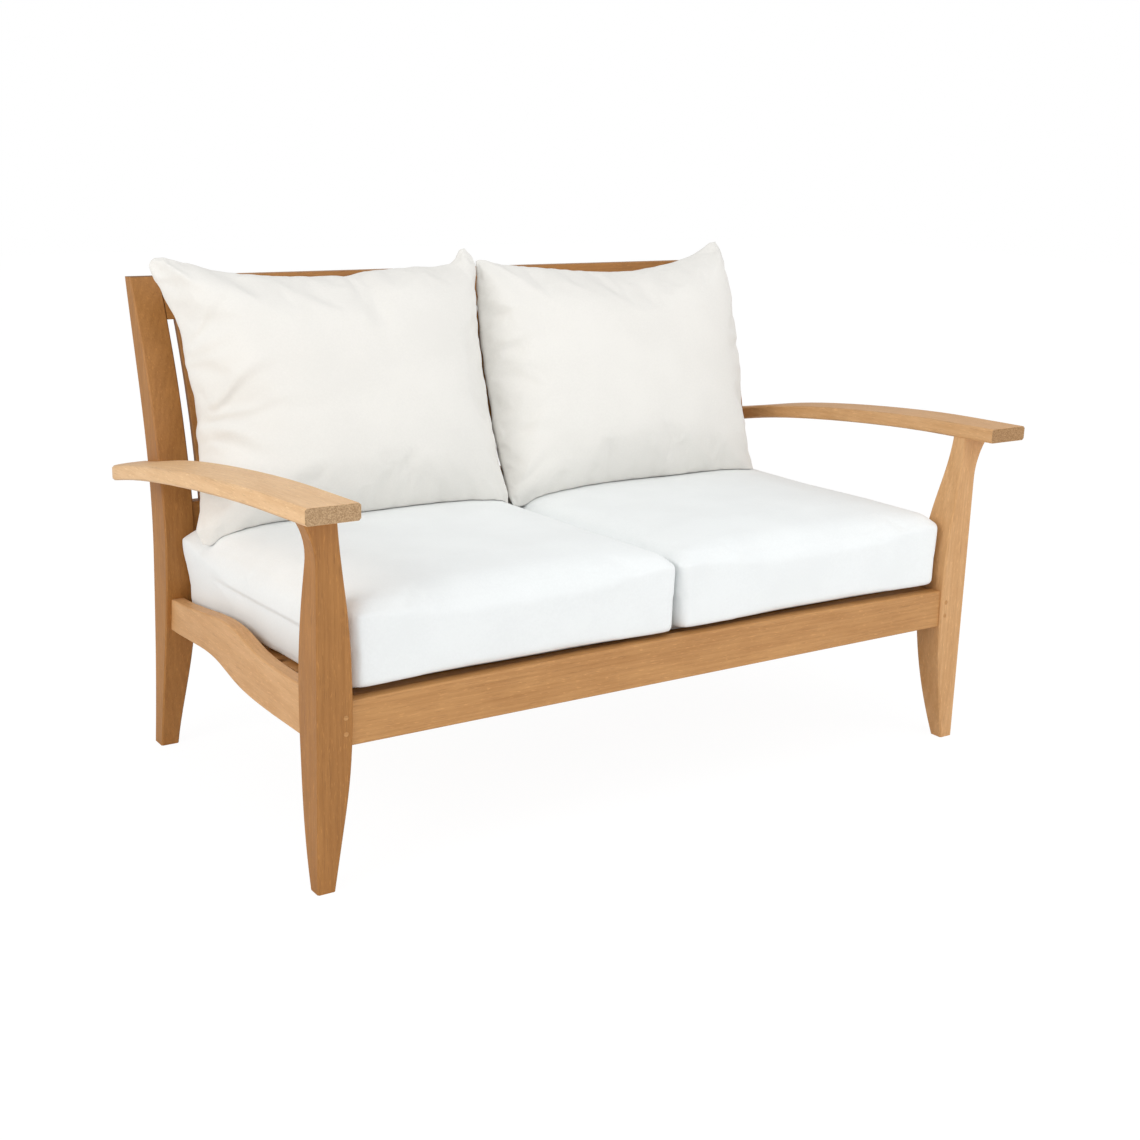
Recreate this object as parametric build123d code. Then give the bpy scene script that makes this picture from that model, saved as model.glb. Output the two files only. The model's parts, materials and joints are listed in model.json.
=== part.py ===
"""Two-seat teak patio loveseat with loose cushions.

The frame is sawn and pegged together: front legs and back posts, curved arms, seat rails,
a slatted back that follows the curve of the posts, and slats that carry the seat cushions.
Two boxed seat cushions lie on the slats and two pillows lean on the back.

Millimetres. X runs to the right as seen from the front, Y runs back, Z runs up.
The origin lies on the ground, at the middle of the loveseat's width and depth.
"""

import os

from build123d import *

# Stance of the frame
front_leg_spread = 1374.0
back_post_spread = 1342.0
post_line_depth = 642.0
crest_height = 864.0
seat_line_height = 433.0
seat_height = 300.0
seat_slope = 1.2

# Front leg: a leaf in front view and in side view, flaring outwards under the arm
leg_foot_width = 30.0
leg_belly_width = 62.5
leg_neck_width = 40.0
leg_foot_depth = 27.0
leg_belly_depth = 66.0
leg_neck_depth = 31.0
leg_lean = 5.0
leg_flare = 30.0
leg_belly_share = 0.53
leg_flare_share = 0.863
leg_front_shares = [(0.0, 0.0), (0.135, 0.40), (0.30, 0.84), (0.53, 1.0)]
leg_front_upper_shares = [(0.74, 0.30), (0.85, 0.66), (1.0, 1.0)]
leg_side_shares = [(0.0, 0.0), (0.15, 0.53), (0.33, 0.84), (0.58, 1.0)]
leg_side_upper_shares = [(0.78, 0.38), (0.87, 0.69), (1.0, 1.0)]

# Back post: raked above the seat line and kicked back below it
post_width = 56.0
post_foot_width = 34.0
post_foot_kick = 64.0
post_top_rake = 127.0
post_foot_depth = 35.0
post_belly_depth = 65.0
post_top_depth = 25.0
post_taper_height = 262.0
post_lower_shares = [(0.0, 1.0, 0.0), (0.388, 0.47, 0.47), (0.74, 0.09, 0.93)]
post_upper_shares = [(0.0, 0.0, 0.0), (0.30, 0.16, 0.175), (0.60, 0.443, 0.35), (0.784, 0.68, 0.575)]
post_taper_shares = [(0.0, 0.0), (0.42, 0.50), (0.77, 0.93)]

# Arm: a board arched in side view, wider at the back, with a quarter-round tail
arm_overhang = 65.0
arm_front_height = 622.6
arm_thickness = 26.0
arm_pad_length = 135.0
arm_pad_drop = 4.0
arm_tail_drop = 76.0
arm_tail_reach = 85.0
arm_front_inset = 45.0
arm_front_width = 87.0
arm_rear_width = 97.0
arm_post_lap = 11.0
arm_bow = 2.5
arm_curve_shares = [(0.25, 0.124), (0.525, 0.353), (0.80, 0.697)]

# Seat rails
front_rail_bottom = 231.0
front_rail_height = 70.0
front_rail_crown = 7.0
front_rail_thickness = 25.0
front_rail_inset = 5.0
rear_rail_top = 286.0
rear_rail_height = 62.0
rear_rail_thickness = 26.0
rear_rail_inset = 22.0
side_rail_thickness = 25.0
side_rail_front_inset = 12.0
side_rail_rear_inset = 10.0
side_rail_drop_front = 67.0
side_rail_top_swell = 26.0
side_rail_bottom_dip = 12.0
side_rail_top_shares = [(0.0, 0.66), (0.25, 0.385), (0.362, 0.52), (0.476, 0.99), (0.69, 0.76), (1.0, 0.0)]
side_rail_bottom_shares = [(0.0, 0.1), (0.33, -0.42), (0.50, 0.10), (0.62, 1.22), (0.80, 1.15), (1.0, 0.55)]

# Back frame
crest_rail_height = 73.0
crest_rail_thickness = 24.0
lower_rail_top = 476.0
lower_rail_height = 58.0
lower_rail_thickness = 26.0
lower_rail_inset = 4.0
back_slat_count = 15
back_slat_gap = 17.0
back_slat_thickness = 13.0
back_slat_inset = 7.0
back_slat_tenon = 12.0
back_slat_shoulder = 6.0

# Seat platform
seat_slat_count = 8
seat_slat_width = 58.0
seat_slat_thickness = 16.0
seat_slat_clearance = 1.5
seat_slat_arris = 2.5
cleat_width = 36.0
cleat_height = 20.0
cleat_edge_thickness = 14.0
bearer_width = 40.0
bearer_height = 40.0
bearer_tenon = 12.0
bearer_shoulder = 6.0
corner_block_reach = 70.0
corner_block_height = 26.0
corner_block_clearance = 1.0

# Joinery
leg_arris = 2.5
arm_arris = 3.5
rail_arris = 2.0
fit = 0.1
tenon_thickness = 12.0
tenon_depth = 22.0
tenon_shoulder = 13.0
side_tenon_depth = 24.0
side_tenon_bottom = 252.0
side_tenon_height = 38.0
side_tenon_reach = 12.0
peg_diameter = 8.0
peg_sides = 8
peg_length = 34.0
peg_inset = 12.0
front_peg_spacing = 26.0
rear_peg_spacing = 20.0
peg_cover = 4.0
curve_steps = 40
soft_steps = 3
hole_clearance = 0.1
dowel_diameter = 10.0
leg_dowel_inset = 23.0
leg_dowel_spacing = 20.0
leg_dowel_depth = 15.5
leg_dowel_bottom = 566.0
leg_dowel_length = 44.0
post_dowel_length = 40.0
post_dowel_setback = 33.0
post_dowel_spacing = 28.0
post_dowel_height = 541.0
post_dowel_drop = 4.6
overrun = 40.0

# Seat cushion: a boxed form with a crown on top, spreading over the side rails at the back.
# Its shares pair a share of the height with the share of the outline's size at that height.
seat_cushion_front = 12.0
seat_cushion_depth = 624.0
seat_cushion_half_width = 621.0
seat_cushion_spread = 28.0
rail_overlap_rise = 46.0
seat_cushion_gap = 4.0
seat_cushion_height = 160.0
seat_cushion_corner = 26.0
seat_cushion_sag = 6.0
seat_cover_shares = [(0.0, 0.985), (0.075, 1.0), (0.8, 1.0)]
seat_cover_shares += [(0.88, 0.98), (0.93, 0.93), (0.97, 0.8), (1.0, 0.5)]
seat_core_shares = [(0.0, 0.98), (0.8, 0.99), (0.92, 0.92), (0.99, 0.6)]

# Back cushion: a knife-edge pillow with drawn-in sides and pointed corners.
# Its shares pair a share of the half thickness with the share of the outline's size there.
back_cushion_width = 630.0
back_cushion_height = 505.0
back_cushion_half_thickness = 100.0
back_cushion_sag = 26.0
back_cushion_tilt = 20.9
back_cushion_lean = 615.0
back_cushion_centre_height = 664.0
back_cushion_left = -331.0
back_cushion_right = 303.0
back_cushion_corner = 14.0
back_cushion_shares = [(0.0, 1.0), (0.34, 0.96), (0.62, 0.88), (0.83, 0.77), (0.95, 0.63), (1.0, 0.42)]
back_core_shares = [(0.0, 0.995), (0.55, 0.9), (0.87, 0.72), (0.98, 0.4)]

# Covers, fillings and zips
cover_thickness = 3.0
soft_clearance = 0.3
zip_height = 9.0
zip_length = 460.0
seat_zip_level = 70.0
back_zip_level = 215.0
back_zip_share = 0.5

# Places that follow from the sizes
frame_depth = arm_overhang + post_line_depth + post_top_rake + post_top_depth
front_y = arm_overhang - frame_depth / 2
post_line_y = front_y + post_line_depth
leg_outer_x = front_leg_spread / 2
post_outer_x = back_post_spread / 2
post_inner_x = post_outer_x - post_width
arm_front_inner_x = leg_outer_x - arm_front_inset
arm_inner_x = post_outer_x - arm_post_lap
leg_height = arm_front_height - arm_thickness
rail_front_x = leg_outer_x - side_rail_front_inset
rail_rear_x = post_outer_x - side_rail_rear_inset
rail_front_y = front_y + leg_belly_depth
rear_rail_y = post_line_y + rear_rail_inset


def side_face(edges):
    """A face from edges drawn in y and z."""
    return Plane.YZ * make_face(edges)


def front_face(edges):
    """A face from edges drawn in x and z."""
    return Plane.XZ * make_face(edges)


def block(x_from, x_to, y_from, y_to, z_from, z_to, growth=0.0):
    """A squared block between two corners, grown all round."""
    size = (x_to - x_from + 2 * growth, y_to - y_from + 2 * growth, z_to - z_from + 2 * growth)
    place = Pos(x_from - growth, y_from - growth, z_from - growth)
    return place * Box(*size, align=(Align.MIN, Align.MIN, Align.MIN))


def across(x_to, y_from, y_to, z_from, z_to, growth=0.0):
    """A block that runs right across the loveseat between two ends, grown all round."""
    return block(-x_to, x_to, y_from, y_to, z_from, z_to, growth)


def other_side(piece):
    """The same piece for the other end of the loveseat."""
    return mirror(piece, about=Plane.YZ)


# Front legs
def leg_spline(lower_shares, upper_shares, foot, belly, neck):
    """Distances from the leg's straight edge, by height: foot, belly and neck."""
    lower = [(foot + share * (belly - foot), height * leg_height) for height, share in lower_shares]
    upper = [(belly + share * (neck - belly), height * leg_height) for height, share in upper_shares]
    return lower + upper


def front_leg():
    """The right leg, sawn from the front and from the side, before its joints are cut."""
    widths = (leg_foot_width, leg_belly_width, leg_neck_width)
    inner = leg_spline(leg_front_shares, leg_front_upper_shares, *widths)
    depths = (leg_foot_depth, leg_belly_depth, leg_neck_depth)
    rear = leg_spline(leg_side_shares, leg_side_upper_shares, *depths)
    neck_x = leg_outer_x - leg_lean
    flare_start = (neck_x, leg_flare_share * leg_height)
    flare_end = (neck_x + leg_flare, leg_height)
    outer_edge = Line((leg_outer_x, 0), flare_start)
    flare = TangentArc([flare_start, flare_end], tangent=outer_edge % 1)
    inner_edge = Spline([(leg_outer_x - reach, z) for reach, z in inner])
    front_edges = [outer_edge, flare, inner_edge]
    front_edges += [Line(inner_edge @ 0, outer_edge @ 0), Line(inner_edge @ 1, flare_end)]
    rear_edge = Spline([(front_y + depth, z) for depth, z in rear])
    side_edges = [Line((front_y, 0), (front_y, leg_height)), rear_edge]
    side_edges += [Line((front_y, 0), rear_edge @ 0), Line((front_y, leg_height), rear_edge @ 1)]
    from_front = extrude(front_face(front_edges), overrun + frame_depth, both=True)
    from_side = extrude(side_face(side_edges), front_leg_spread)
    return from_front & from_side


# Back posts and everything that follows their curve
def post_stations():
    """Front edge and depth of the post at each height that its outline needs."""
    rise = crest_height - seat_line_height
    stations = []
    for height, kick, growth in post_lower_shares:
        depth = post_foot_depth + growth * (post_belly_depth - post_foot_depth)
        stations.append((height * seat_line_height, kick * post_foot_kick, depth))
    for height, rake, loss in post_upper_shares:
        depth = post_belly_depth - loss * (post_belly_depth - post_top_depth)
        stations.append((seat_line_height + height * rise, rake * post_top_rake, depth))
    stations.append((crest_height, post_top_rake, post_top_depth))
    return stations


def back_curve(set_back):
    """The curve of the posts' front edge, moved back."""
    return Spline([(post_line_y + y + set_back, z) for z, y, _ in post_stations()])


def back_band(x_to, z_from, z_to, set_back, thickness, growth=0.0):
    """A board across the loveseat that follows the curve of the back between two heights."""
    front = back_curve(set_back - growth)
    rear = back_curve(set_back + thickness + growth)
    edges = [front, rear, Line(front @ 0, rear @ 0), Line(front @ 1, rear @ 1)]
    band = extrude(side_face(edges), x_to + growth, both=True)
    return band & across(x_to, -frame_depth, frame_depth, z_from, z_to, growth)


def post_rear_curve():
    """The curve of the posts' rear edge."""
    return Spline([(post_line_y + y + depth, z) for z, y, depth in post_stations()])


def at_height(curve, height):
    """The share of a rising curve's length at which it reaches a height."""
    low, high = 0.0, 1.0
    for _ in range(curve_steps):
        middle = (low + high) / 2
        if (curve @ middle).Y < height:
            low = middle
        else:
            high = middle
    return low


def back_slat_form(half_width, z_from, z_to, growth=0.0):
    """A slat bent to one arc through the curve of the back, grown all round."""
    curve = back_curve(back_slat_inset)
    bottom = lower_rail_top - back_slat_tenon
    top = crest_height - crest_rail_height + back_slat_tenon
    heights = (bottom, (bottom + top) / 2, top)
    front = ThreePointArc(*[curve @ at_height(curve, height) for height in heights])
    front = Pos(-growth, 0) * front
    rear = Pos(back_slat_thickness + 2 * growth, 0) * front
    edges = [front, rear, Line(front @ 0, rear @ 0), Line(front @ 1, rear @ 1)]
    form = extrude(side_face(edges), half_width + growth, both=True)
    return form & across(half_width, -frame_depth, frame_depth, z_from, z_to, growth)


def back_post():
    """The right post, sawn from the front and from the side, before its joints are cut."""
    front = back_curve(0)
    rear = post_rear_curve()
    side_edges = [front, rear, Line(front @ 0, rear @ 0), Line(front @ 1, rear @ 1)]
    from_side = extrude(side_face(side_edges), back_post_spread)
    taper = [
        (post_outer_x - post_foot_width - share * (post_width - post_foot_width), height * post_taper_height)
        for height, share in post_taper_shares
    ]
    taper.append((post_inner_x, post_taper_height))
    inner_low = Spline(taper)
    inner_high = Line((post_inner_x, post_taper_height), (post_inner_x, crest_height))
    outer = Line((post_outer_x, 0), (post_outer_x, crest_height))
    ends = [Line(inner_low @ 0, outer @ 0), Line(inner_high @ 1, outer @ 1)]
    front_edges = [inner_low, inner_high, outer, *ends]
    from_front = extrude(front_face(front_edges), frame_depth, both=True)
    return from_side & from_front


# Arms
def arm():
    """The right arm before the post's notch and the dowel holes are cut."""
    arm_front_y = front_y - arm_overhang
    pad_end = (arm_front_y + arm_pad_length, arm_front_height - arm_pad_drop)
    tail_y = post_line_y + arm_tail_reach
    run = tail_y - pad_end[0]
    curve_points = [pad_end]
    for y, drop in arm_curve_shares:
        curve_points.append((pad_end[0] + y * run, pad_end[1] - drop * arm_tail_drop))
    curve_points.append((tail_y, pad_end[1] - arm_tail_drop))
    pad_top = Line((arm_front_y, arm_front_height), pad_end)
    top = Spline(curve_points, tangents=[pad_top % 1, (run, -arm_tail_drop)])
    pad_under = Pos(0, -arm_thickness) * pad_top
    under = Pos(0, -arm_thickness) * top
    side_edges = [pad_top, top, pad_under, under, Line(pad_top @ 0, pad_under @ 0), Line(top @ 1, under @ 1)]
    from_side = extrude(side_face(side_edges), front_leg_spread)
    tail_radius = arm_rear_width - arm_post_lap
    outer_x = arm_inner_x + arm_rear_width
    front_inner = (arm_front_inner_x, arm_front_y)
    front_outer = (arm_front_inner_x + arm_front_width, arm_front_y)
    tail_start = (outer_x, tail_y - tail_radius)
    tail_end = (post_outer_x, tail_y)
    outer_edge = SagittaArc(front_outer, tail_start, -arm_bow)
    tail = TangentArc([tail_start, tail_end], tangent=(0, 1))
    step_y = post_line_y + post_belly_depth / 2
    edges = [Line(front_inner, front_outer), outer_edge, tail]
    edges += [Polyline(tail_end, (post_outer_x, step_y), (arm_inner_x, step_y), front_inner)]
    plan = extrude(make_face(edges), arm_front_height + overrun)
    return plan & from_side


# Seat rails
def front_rail():
    """The front rail, with a slightly crowned top edge, running on into the legs."""
    end_x = leg_outer_x - tenon_thickness
    top_z = front_rail_bottom + front_rail_height
    bottom = Line((-end_x, front_rail_bottom), (end_x, front_rail_bottom))
    crown = ThreePointArc((-end_x, top_z), (0, top_z + front_rail_crown), (end_x, top_z))
    edges = [bottom, crown, Line(bottom @ 0, crown @ 0), Line(bottom @ 1, crown @ 1)]
    face = Pos(0, front_y + front_rail_inset, 0) * front_face(edges)
    return extrude(face, front_rail_thickness, dir=(0, 1, 0))


def side_rail():
    """The right side rail, with an S in side view, running on into the leg and the post."""
    y_from = front_y + leg_belly_depth / 2
    y_to = post_line_y + post_belly_depth / 2
    run = y_to - y_from
    top_base = seat_height
    bottom_base = seat_height - side_rail_drop_front
    top = Spline([(y_from + y * run, top_base + z * side_rail_top_swell) for y, z in side_rail_top_shares])
    dips = side_rail_bottom_shares
    bottom = Spline([(y_from + y * run, bottom_base + z * side_rail_bottom_dip) for y, z in dips])
    edges = [top, bottom, Line(top @ 0, bottom @ 0), Line(top @ 1, bottom @ 1)]
    from_side = extrude(side_face(edges), front_leg_spread)
    plan = extrude(make_face(side_strip_outline(0, side_rail_thickness, y_from, y_to)), crest_height)
    return from_side & plan


def rail_x(y):
    """Outer face of the side rail at a distance back."""
    share = (y - rail_front_y) / (post_line_y - rail_front_y)
    return rail_front_x + share * (rail_rear_x - rail_front_x)


def side_strip_outline(inset, width, y_from, y_to):
    """Plan of a strip that runs along the side rail's outer face, set in from it."""
    return Polyline(
        (rail_x(y_from) - inset, y_from),
        (rail_x(y_to) - inset, y_to),
        (rail_x(y_to) - inset - width, y_to),
        (rail_x(y_from) - inset - width, y_from),
        close=True,
    )


# Joints
def riven_bar(x, y, z, direction, length, width):
    """A bar split to eight flat sides, or its hole, that runs in a direction from a point."""
    start = Plane(origin=(x, y, z), z_dir=direction)
    return extrude(start * RegularPolygon(width / 2, peg_sides, major_radius=False), length)


def rear_peg(height, diameter):
    """A peg driven square into the back of the right post, stopping short of its front."""
    rear = post_rear_curve()
    share = at_height(rear, height)
    along = rear % share
    inward = (0, -along.Y, along.X)
    start = rear @ share
    front = back_curve(0)
    length = start.X - (front @ at_height(front, height)).X - peg_cover
    return riven_bar(post_inner_x + peg_inset, start.X, start.Y, inward, length, diameter)


def side_tenon(y_line, y_from, y_to, growth=0.0):
    """A tenon in the thickness of the side rail, at its front or rear shoulder."""
    x_middle = rail_x(y_line) - side_rail_thickness / 2
    x_from = x_middle - tenon_thickness / 2
    x_to = x_middle + tenon_thickness / 2
    z_to = side_tenon_bottom + side_tenon_height
    return block(x_from, x_to, y_from, y_to, side_tenon_bottom, z_to, growth)


def pair(*right_pieces):
    """Pieces and their twins at the other end, as one group of separate solids."""
    return Compound(children=[*right_pieces, *map(other_side, right_pieces)])


def eased(piece, size, count=4):
    """Take the sharpness off the longest arrises of a stick."""
    return chamfer(piece.edges().sort_by(SortBy.LENGTH)[-count:], size)


# Seat platform, drawn level and then tilted with the seat
def tilted(piece):
    """Tilt a piece drawn level, with y back from the front face and z up from the slats' top."""
    return Pos(0, front_y, seat_height) * Rot(X=-seat_slope) * piece


def seat_slat(index):
    """One slat across the seat, long enough to reach the raised edges of both cleats."""
    first_y = front_rail_inset + front_rail_thickness + seat_slat_clearance
    last_y = post_line_depth - seat_slat_width - seat_slat_clearance
    y = first_y + index * (last_y - first_y) / (seat_slat_count - 1)
    reach = rail_x(front_y + y + seat_slat_width) - side_rail_thickness - cleat_edge_thickness
    if y < leg_belly_depth:
        reach = leg_outer_x - leg_belly_width
    reach -= seat_slat_clearance
    slat = across(reach, y, y + seat_slat_width, -seat_slat_thickness, 0)
    along = [edge for edge in slat.edges() if edge.center().X == 0 and edge.center().Z == 0]
    return tilted(chamfer(along, seat_slat_arris))


def under_slats(plan_outline, height, growth=0.0):
    """A piece with this plan that lies within a height below the slats."""
    top = growth - seat_slat_thickness
    bottom = -growth - seat_slat_thickness - height
    layer = tilted(across(leg_outer_x, -overrun, frame_depth, bottom, top))
    return extrude(make_face(plan_outline), crest_height) & layer


def bearer_part(half_width, reach, height, growth=0.0):
    """The centre bearer's body or its tenons, reaching into the front and rear rails."""
    y_from = front_y + front_rail_inset + front_rail_thickness - reach - growth
    y_to = rear_rail_y + reach + growth
    half = half_width + growth
    outline = Polyline((-half, y_from), (half, y_from), (half, y_to), (-half, y_to), close=True)
    return under_slats(outline, height, growth)


def cleat():
    """The right cleat: a ledge between the corner blocks, with a raised edge that closes the slats' ends."""
    y_from = rail_front_y + corner_block_reach + corner_block_clearance
    y_to = post_line_y - corner_block_reach - corner_block_clearance
    ledge = under_slats(side_strip_outline(side_rail_thickness, cleat_width, y_from, y_to), cleat_height)
    ends = (rail_front_y + corner_block_clearance, post_line_y - corner_block_clearance)
    edge_plan = side_strip_outline(side_rail_thickness, cleat_edge_thickness, *ends)
    layer = tilted(across(leg_outer_x, -overrun, frame_depth, -seat_slat_thickness, 0))
    return ledge + (extrude(make_face(edge_plan), crest_height) & layer)


def front_corner_block():
    """The right front corner block, wrapped round the leg."""
    leg_x = leg_outer_x - leg_belly_width - corner_block_clearance
    rail_y = front_y + front_rail_inset + front_rail_thickness
    leg_y = rail_front_y + corner_block_clearance
    far_y = rail_front_y + corner_block_reach
    outline = Polyline(
        (leg_x - corner_block_reach, rail_y),
        (leg_x, rail_y),
        (leg_x, leg_y),
        (rail_x(leg_y) - side_rail_thickness, leg_y),
        (rail_x(far_y) - side_rail_thickness, far_y),
        close=True,
    )
    return under_slats(outline, corner_block_height)


def rear_corner_block():
    """The right rear corner block, wrapped round the post."""
    post_x = post_inner_x - corner_block_clearance
    post_y = post_line_y - corner_block_clearance
    far_y = post_line_y - corner_block_reach
    outline = Polyline(
        (post_x - corner_block_reach, rear_rail_y),
        (post_x, rear_rail_y),
        (post_x, post_y),
        (rail_x(post_y) - side_rail_thickness, post_y),
        (rail_x(far_y) - side_rail_thickness, far_y),
        close=True,
    )
    return under_slats(outline, corner_block_height)


# Cushions
def toward(start, end, distance):
    """The point a distance from start on the way to end."""
    return start + (end - start).normalized() * distance


def soft_outline(corners, radius, sag):
    """Points round four sides drawn in towards their middles, with a rounded corner between each two."""
    points = []
    count = len(corners)
    shares = [step / soft_steps for step in range(soft_steps)]
    for index, corner in enumerate(corners):
        following = corners[(index + 1) % count]
        enter = toward(corner, corners[index - 1], radius)
        leave = toward(corner, following, radius)
        reach = toward(following, corner, radius) - leave
        inward = Vector(-reach.Y, reach.X).normalized() * sag
        for share in shares:
            rest = 1 - share
            points.append(enter * rest * rest + corner * 2 * share * rest + leave * share * share)
        for share in shares:
            points.append(leave + reach * share + inward * 4 * share * (1 - share))
    return points


def quilt(outline, levels):
    """A closed form of flat facets between scaled copies of one outline, each at its own height."""
    middle = sum(outline, Vector()) / len(outline)
    rings = []
    for height, share in levels:
        rings.append([middle + (point - middle) * share + Vector(0, 0, height) for point in outline])
    loops = [rings[0], rings[-1]]
    for low, high in zip(rings, rings[1:]):
        loops += [[low[i - 1], low[i], high[i], high[i - 1]] for i in range(len(outline))]
    return Solid(Shell([Face(Wire.make_polygon(loop)) for loop in loops]))


def seat_cushion(shrink, shares):
    """The right seat cushion, lying over the front and side rails, smaller all round by the shrink."""
    seat_rear = seat_cushion_front + seat_cushion_depth
    corners = [
        Vector(seat_cushion_gap / 2, seat_cushion_front),
        Vector(seat_cushion_half_width, seat_cushion_front),
        Vector(seat_cushion_half_width + seat_cushion_spread, seat_rear),
        Vector(seat_cushion_gap / 2, seat_rear),
    ]
    less = 2 * shrink / seat_cushion_depth
    tall = seat_cushion_height - 2 * shrink
    levels = [(soft_clearance + shrink + level * tall, share - less) for level, share in shares]
    form = quilt(soft_outline(corners, seat_cushion_corner, seat_cushion_sag), levels)
    rail_rear = front_y + front_rail_inset + front_rail_thickness
    rail_top = front_rail_bottom + front_rail_height + front_rail_crown
    clear = soft_clearance + shrink
    over_rail = across(leg_outer_x, front_y, rail_rear, front_rail_bottom, rail_top, clear)
    strip = side_strip_outline(0, side_rail_thickness + clear, rail_front_y, post_line_y)
    beside = extrude(make_face(strip), crest_height)
    beside &= tilted(across(leg_outer_x, 0, frame_depth, -rail_overlap_rise, rail_overlap_rise, clear))
    return tilted(form) - over_rail - beside


def back_cushion(x_middle, shrink, shares):
    """A back cushion, pressed to its neighbour, to the seat cushions and to the back frame."""
    half_x = back_cushion_width / 2
    half_z = back_cushion_height / 2
    corners = [Vector(x * half_x, z * half_z) for x, z in ((-1, -1), (1, -1), (1, 1), (-1, 1))]
    less = 2 * shrink / back_cushion_height
    thick = back_cushion_half_thickness - shrink
    front = [(level * thick, share - less) for level, share in shares]
    rear = [(-z, share) for z, share in front[:0:-1]]
    form = quilt(soft_outline(corners, back_cushion_corner, back_cushion_sag), rear + front)
    lean = Rot(X=90 - back_cushion_tilt)
    placed = Pos(x_middle, front_y + back_cushion_lean, back_cushion_centre_height) * lean * form
    clear = soft_clearance + shrink
    seat = seat_cushion(-clear, seat_cover_shares)
    curve = back_curve(-clear)
    bottom, foot, middle, top = [
        curve @ at_height(curve, height)
        for height in (0, seat_line_height, (seat_line_height + crest_height) / 2, crest_height)
    ]
    far = Polyline(top, (frame_depth, crest_height), (frame_depth, 0), bottom)
    edges = [Line(bottom, foot), ThreePointArc(foot, middle, top), far]
    behind = extrude(side_face(edges), front_leg_spread, both=True)
    own_half = block(clear / 2, front_leg_spread, 0, frame_depth, 0, 2 * crest_height)
    placed &= own_half if x_middle > 0 else other_side(own_half)
    return placed - seat - other_side(seat) - behind


def zipped_cover(outer, inner, x_middle, y_from, level):
    """A cover cut round the zip in its back, and the zip."""
    half = zip_length / 2
    slab = tilted(block(x_middle - half, x_middle + half, y_from, frame_depth, level, level + zip_height))
    shell = outer - inner
    return shell - slab, shell & slab


pieces = {}

# Legs, posts and arms as sawn
leg = eased(front_leg(), leg_arris, count=6)
post = eased(back_post(), leg_arris, count=6)
arm_board = eased(arm(), arm_arris, count=6) - post
leg -= arm_board

# Front rail, scribed to the legs
leg_inner_x = leg_outer_x - leg_belly_width
tenon_y = front_y + front_rail_inset + (front_rail_thickness - tenon_thickness) / 2
tenon_from = front_rail_bottom + tenon_shoulder
tenon_to = front_rail_bottom + front_rail_height - tenon_shoulder
front_tenon = (leg_inner_x + tenon_depth, tenon_y, tenon_y + tenon_thickness, tenon_from, tenon_to)
front_rail_piece = front_rail() - leg - other_side(leg)
front_rail_piece = eased(front_rail_piece, rail_arris) + across(*front_tenon)

# Side rail, scribed to the leg and the post
front_end = (rail_front_y, rail_front_y - side_tenon_depth, rail_front_y + side_tenon_reach)
rear_end = (post_line_y, post_line_y - side_tenon_reach, post_line_y + side_tenon_reach + side_tenon_depth)
side_rail_piece = side_rail() - leg - post
side_rail_piece = eased(side_rail_piece, rail_arris) + side_tenon(*front_end) + side_tenon(*rear_end)

# Rear rail, scribed to the posts
rear_rail_bottom = rear_rail_top - rear_rail_height
rear_rail_to = rear_rail_y + rear_rail_thickness
tenon_y = rear_rail_y + (rear_rail_thickness - tenon_thickness) / 2
tenon_from = rear_rail_bottom + tenon_shoulder
tenon_to = rear_rail_top - tenon_shoulder
tenon_x = post_inner_x + tenon_depth
rear_tenon = (tenon_x, tenon_y, tenon_y + tenon_thickness, tenon_from, tenon_to)
scribed_x = post_inner_x + tenon_thickness
rear_rail = across(scribed_x, rear_rail_y, rear_rail_to, rear_rail_bottom, rear_rail_top)
rear_rail = eased(rear_rail, rail_arris) - post - other_side(post)
rear_rail += across(*rear_tenon)

# Crest rail and lower back rail, shouldered between the posts
crest_bottom = crest_height - crest_rail_height
tenon_back = (crest_rail_thickness - tenon_thickness) / 2
tenon_from = crest_bottom + tenon_shoulder
tenon_to = crest_height - tenon_shoulder
crest_tenon = (tenon_x, tenon_from, tenon_to, tenon_back, tenon_thickness)
crest_rail = back_band(post_inner_x, crest_bottom, crest_height, 0, crest_rail_thickness)
crest_rail = eased(crest_rail, rail_arris) + back_band(*crest_tenon)
lower_bottom = lower_rail_top - lower_rail_height
tenon_back = lower_rail_inset + (lower_rail_thickness - tenon_thickness) / 2
tenon_from = lower_bottom + tenon_shoulder
tenon_to = lower_rail_top - tenon_shoulder
lower_tenon = (tenon_x, tenon_from, tenon_to, tenon_back, tenon_thickness)
lower_section = (lower_bottom, lower_rail_top, lower_rail_inset, lower_rail_thickness)
lower_rail = eased(back_band(post_inner_x, *lower_section), rail_arris) + back_band(*lower_tenon)

# Back slats, tenoned into both rails
slat_half = (post_inner_x - (back_slat_count + 1) * back_slat_gap / 2) / back_slat_count
tenon_from = lower_rail_top - back_slat_tenon
slat_tenon = (slat_half - back_slat_shoulder, tenon_from, crest_bottom + back_slat_tenon)
back_slat = back_slat_form(slat_half, lower_rail_top, crest_bottom) + back_slat_form(*slat_tenon)
slat_mortise = back_slat_form(*slat_tenon, growth=fit)
slat_pitch = 2 * slat_half + back_slat_gap
for index in range(back_slat_count):
    place = Pos((index - (back_slat_count - 1) / 2) * slat_pitch, 0, 0)
    pieces[f"back_slat_{index + 1:02d}"] = place * back_slat
    crest_rail -= place * slat_mortise
    lower_rail -= place * slat_mortise

# Mortises in the leg and the post
leg = leg - across(*front_tenon, growth=fit) - side_tenon(*front_end, growth=fit)
post = post - across(*rear_tenon, growth=fit) - side_tenon(*rear_end, growth=fit)
post = post - back_band(*crest_tenon, growth=fit) - back_band(*lower_tenon, growth=fit)

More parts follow.
